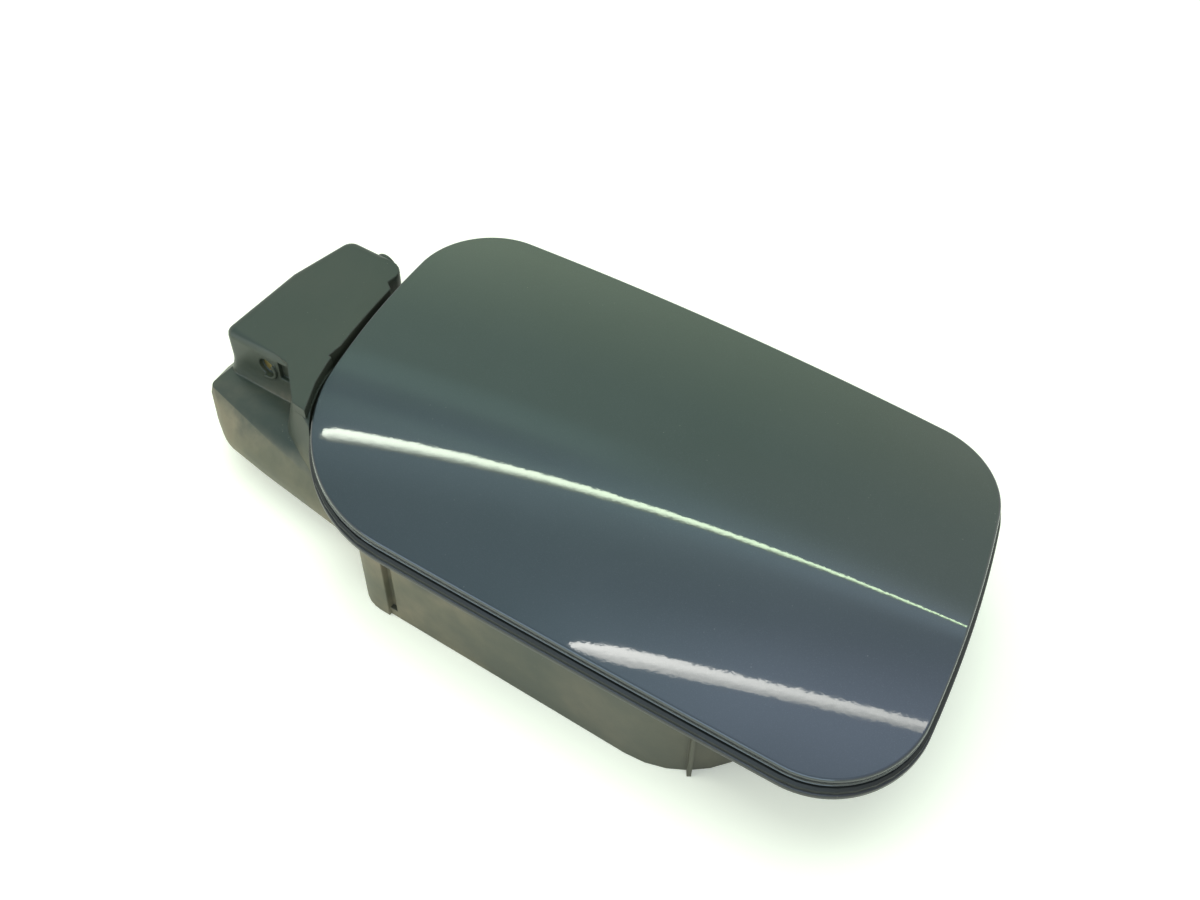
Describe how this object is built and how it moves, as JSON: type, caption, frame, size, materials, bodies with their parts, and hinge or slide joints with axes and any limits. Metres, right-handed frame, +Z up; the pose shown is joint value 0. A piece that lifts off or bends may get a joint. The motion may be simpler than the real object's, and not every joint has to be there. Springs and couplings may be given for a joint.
{
  "type": "car fuel door",
  "caption": "Painted car fuel door on a gooseneck hinge, with its moulded filler pot, rim seal, neck collar, lock guide, striker and cap cradle.",
  "frame": {"origin": "centre of the filler neck bore on the plane that the filler pot rests on", "axes": "+X along the door from its hinge to its free end, +Y across the door towards its back edge, +Z up out of the painted face"},
  "size_m": [0.236, 0.1183, 0.0478],
  "materials": {
    "paint": "clear-coated metallic paint, dark slate blue",
    "panel_plastic": "satin black",
    "housing_plastic": "dusty satin black",
    "rubber": "matt",
    "zinc_plate": "yellow passivated zinc",
    "steel": "bright zinc",
    "bush_plastic": "natural acetal"
  },
  "bodies": {
    "housing": {"housing": "housing_plastic", "hinge_pin": "zinc_plate", "cam_spring": "zinc_plate", "rim_seal": "rubber", "neck_collar": "rubber", "bump_stops": "rubber", "lock_guide": "panel_plastic", "guide_seal": "rubber"},
    "door": {"door_skin": "paint", "door_inner_panel": "panel_plastic", "hinge_arm": "panel_plastic", "arm_screws": "steel", "pivot_bushes": "bush_plastic", "striker": "steel", "striker_screws": "steel", "cap_holder": "panel_plastic"}
  },
  "joints": [
    {"name": "door_hinge", "type": "hinge", "parent": "housing", "child": "door", "pos_m": [-0.12, 0.0032, 0.038], "axis": [0, -1, 0], "range_deg": [0, 95]}
  ]
}
